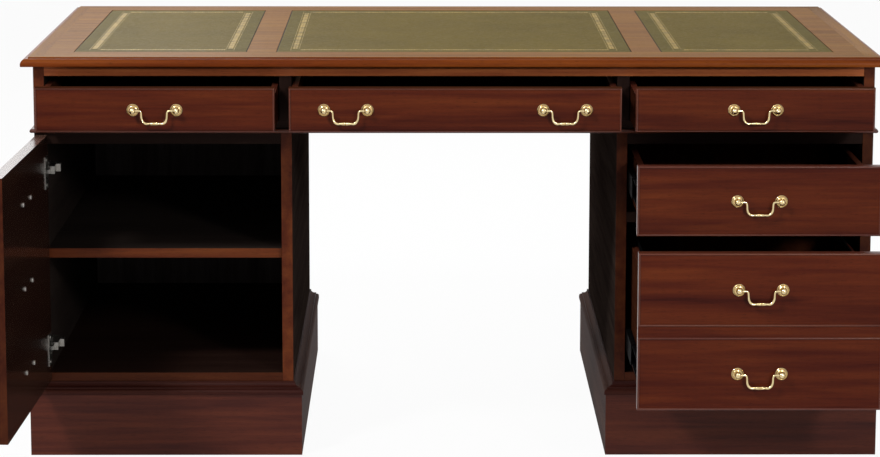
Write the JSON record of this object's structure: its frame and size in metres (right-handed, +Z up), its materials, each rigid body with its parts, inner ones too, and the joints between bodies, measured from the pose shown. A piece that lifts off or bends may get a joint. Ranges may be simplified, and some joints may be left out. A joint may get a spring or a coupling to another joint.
{
  "type": "partners desk",
  "caption": "Twin-pedestal mahogany desk: leather-lined moulded top, frieze drawers, a cupboard with a hinged door, deep drawers on telescopic slides and swan-neck bail handles.",
  "frame": {"origin": "on the floor under the middle of the space that the desk takes with its drawers and door open as stored", "axes": "+X to the sitter's right, +Y from the sitter to the back of the desk, +Z up"},
  "size_m": [1.6788, 1.3942, 0.79],
  "materials": {
    "mahogany": "polished red-brown mahogany",
    "mahogany_top": "polished mahogany",
    "mahogany_plinth": "satin mahogany",
    "drawer_timber": "stained hardwood",
    "green_leather": "olive green hide with a gilt border",
    "polished_brass": "polished",
    "nickel_plate": "nickel plated",
    "zinc_plate": "zinc plated"
  },
  "bodies": {
    "desk_frame": {"back_panel_beads": "mahogany", "cupboard_shelf": "mahogany", "frieze_back": "mahogany", "frieze_bead": "mahogany", "frieze_dividers": "mahogany", "frieze_ends": "mahogany", "frieze_rails": "mahogany", "frieze_runners": "drawer_timber", "hinge_plates": "nickel_plate", "leather_centre": "green_leather", "leather_left": "green_leather", "leather_right": "green_leather", "left_pedestal_back": "mahogany", "left_pedestal_boards": "mahogany", "left_pedestal_sides": "mahogany", "left_plinth": "mahogany_plinth", "left_plinth_moulding": "mahogany_plinth", "right_pedestal_back": "mahogany", "right_pedestal_boards": "mahogany", "right_pedestal_sides": "mahogany", "right_plinth": "mahogany_plinth", "right_plinth_moulding": "mahogany_plinth", "shelf_pins": "polished_brass", "slide_outer_members": "zinc_plate", "top_board": "mahogany_top", "top_edge_moulding": "mahogany_top"},
    "left_drawer": {"left_drawer_front": "mahogany", "left_drawer_box": "drawer_timber", "left_drawer_posts": "polished_brass"},
    "centre_drawer": {"centre_drawer_front": "mahogany", "centre_drawer_box": "drawer_timber", "centre_drawer_posts": "polished_brass"},
    "right_drawer": {"right_drawer_front": "mahogany", "right_drawer_box": "drawer_timber", "right_drawer_posts": "polished_brass"},
    "pedestal_drawer": {"pedestal_drawer_front": "mahogany", "pedestal_drawer_box": "drawer_timber", "pedestal_drawer_posts": "polished_brass", "pedestal_drawer_slide_inners": "zinc_plate"},
    "filing_drawer": {"filing_drawer_front": "mahogany", "filing_drawer_box": "drawer_timber", "filing_drawer_posts": "polished_brass", "filing_drawer_slide_inners": "zinc_plate", "filing_drawer_file_rails": "zinc_plate"},
    "pedestal_drawer_slide": {"pedestal_drawer_slide_middles": "zinc_plate"},
    "filing_drawer_slide": {"filing_drawer_slide_middles": "zinc_plate"},
    "door": {"cupboard_door": "mahogany", "door_posts": "polished_brass", "hinge_cups": "nickel_plate"},
    "left_drawer_bail": {"left_drawer_bail": "polished_brass"},
    "centre_left_bail": {"centre_left_bail": "polished_brass"},
    "centre_right_bail": {"centre_right_bail": "polished_brass"},
    "right_drawer_bail": {"right_drawer_bail": "polished_brass"},
    "pedestal_bail": {"pedestal_bail": "polished_brass"},
    "filing_lower_bail": {"filing_lower_bail": "polished_brass"},
    "filing_upper_bail": {"filing_upper_bail": "polished_brass"},
    "door_lower_bail": {"door_lower_bail": "polished_brass"},
    "door_middle_bail": {"door_middle_bail": "polished_brass"},
    "door_upper_bail": {"door_upper_bail": "polished_brass"}
  },
  "joints": [
    {"name": "left_drawer_slide_out", "type": "slide", "parent": "desk_frame", "child": "left_drawer", "axis": [0, -1, 0], "range_m": [-0.155, 0.205]},
    {"name": "centre_drawer_slide_out", "type": "slide", "parent": "desk_frame", "child": "centre_drawer", "axis": [0, -1, 0], "range_m": [-0.155, 0.205]},
    {"name": "right_drawer_slide_out", "type": "slide", "parent": "desk_frame", "child": "right_drawer", "axis": [0, -1, 0], "range_m": [-0.155, 0.205]},
    {"name": "pedestal_drawer_slide_out", "type": "slide", "parent": "desk_frame", "child": "pedestal_drawer", "axis": [0, -1, 0], "range_m": [-0.255, 0.245]},
    {"name": "pedestal_drawer_slide_extend", "type": "slide", "parent": "desk_frame", "child": "pedestal_drawer_slide", "axis": [0, -1, 0], "range_m": [-0.1275, 0.1225]},
    {"name": "filing_drawer_slide_out", "type": "slide", "parent": "desk_frame", "child": "filing_drawer", "axis": [0, -1, 0], "range_m": [-0.305, 0.195]},
    {"name": "filing_drawer_slide_extend", "type": "slide", "parent": "desk_frame", "child": "filing_drawer_slide", "axis": [0, -1, 0], "range_m": [-0.1525, 0.0975]},
    {"name": "door_hinge", "type": "hinge", "parent": "desk_frame", "child": "door", "pos_m": [-0.80107, -0.21094, 0.394], "axis": [0, 0, -1], "range_deg": [-92, 3]},
    {"name": "left_drawer_bail_swing", "type": "hinge", "parent": "left_drawer", "child": "left_drawer_bail", "pos_m": [-0.56607, -0.36244, 0.7085], "axis": [-1, 0, 0], "range_deg": [-20, 200]},
    {"name": "centre_left_bail_swing", "type": "hinge", "parent": "centre_drawer", "child": "centre_left_bail", "pos_m": [-0.20556, -0.36244, 0.7085], "axis": [-1, 0, 0], "range_deg": [-20, 200]},
    {"name": "centre_right_bail_swing", "type": "hinge", "parent": "centre_drawer", "child": "centre_right_bail", "pos_m": [0.20844, -0.36244, 0.7085], "axis": [-1, 0, 0], "range_deg": [-20, 200]},
    {"name": "right_drawer_bail_swing", "type": "hinge", "parent": "right_drawer", "child": "right_drawer_bail", "pos_m": [0.56893, -0.36244, 0.7085], "axis": [-1, 0, 0], "range_deg": [-20, 200]},
    {"name": "pedestal_bail_swing", "type": "hinge", "parent": "pedestal_drawer", "child": "pedestal_bail", "pos_m": [0.56744, -0.46244, 0.5515], "axis": [-1, 0, 0], "range_deg": [-20, 200]},
    {"name": "filing_lower_bail_swing", "type": "hinge", "parent": "filing_drawer", "child": "filing_lower_bail", "pos_m": [0.56744, -0.51244, 0.23375], "axis": [-1, 0, 0], "range_deg": [-20, 200]},
    {"name": "filing_upper_bail_swing", "type": "hinge", "parent": "filing_drawer", "child": "filing_upper_bail", "pos_m": [0.56744, -0.51244, 0.39325], "axis": [-1, 0, 0], "range_deg": [-20, 200]},
    {"name": "door_lower_bail_swing", "type": "hinge", "parent": "door", "child": "door_lower_bail", "pos_m": [-0.83181, -0.44651, 0.23375], "axis": [0.0349, 0.9994, 0], "range_deg": [-20, 200]},
    {"name": "door_middle_bail_swing", "type": "hinge", "parent": "door", "child": "door_middle_bail", "pos_m": [-0.83181, -0.44651, 0.39325], "axis": [0.0349, 0.9994, 0], "range_deg": [-20, 200]},
    {"name": "door_upper_bail_swing", "type": "hinge", "parent": "door", "child": "door_upper_bail", "pos_m": [-0.83181, -0.44651, 0.5515], "axis": [0.0349, 0.9994, 0], "range_deg": [-20, 200]}
  ],
  "couplings": [
    {"joint": "pedestal_drawer_slide_extend", "follows": "pedestal_drawer_slide_out", "ratio": 0.5},
    {"joint": "filing_drawer_slide_extend", "follows": "filing_drawer_slide_out", "ratio": 0.5}
  ]
}
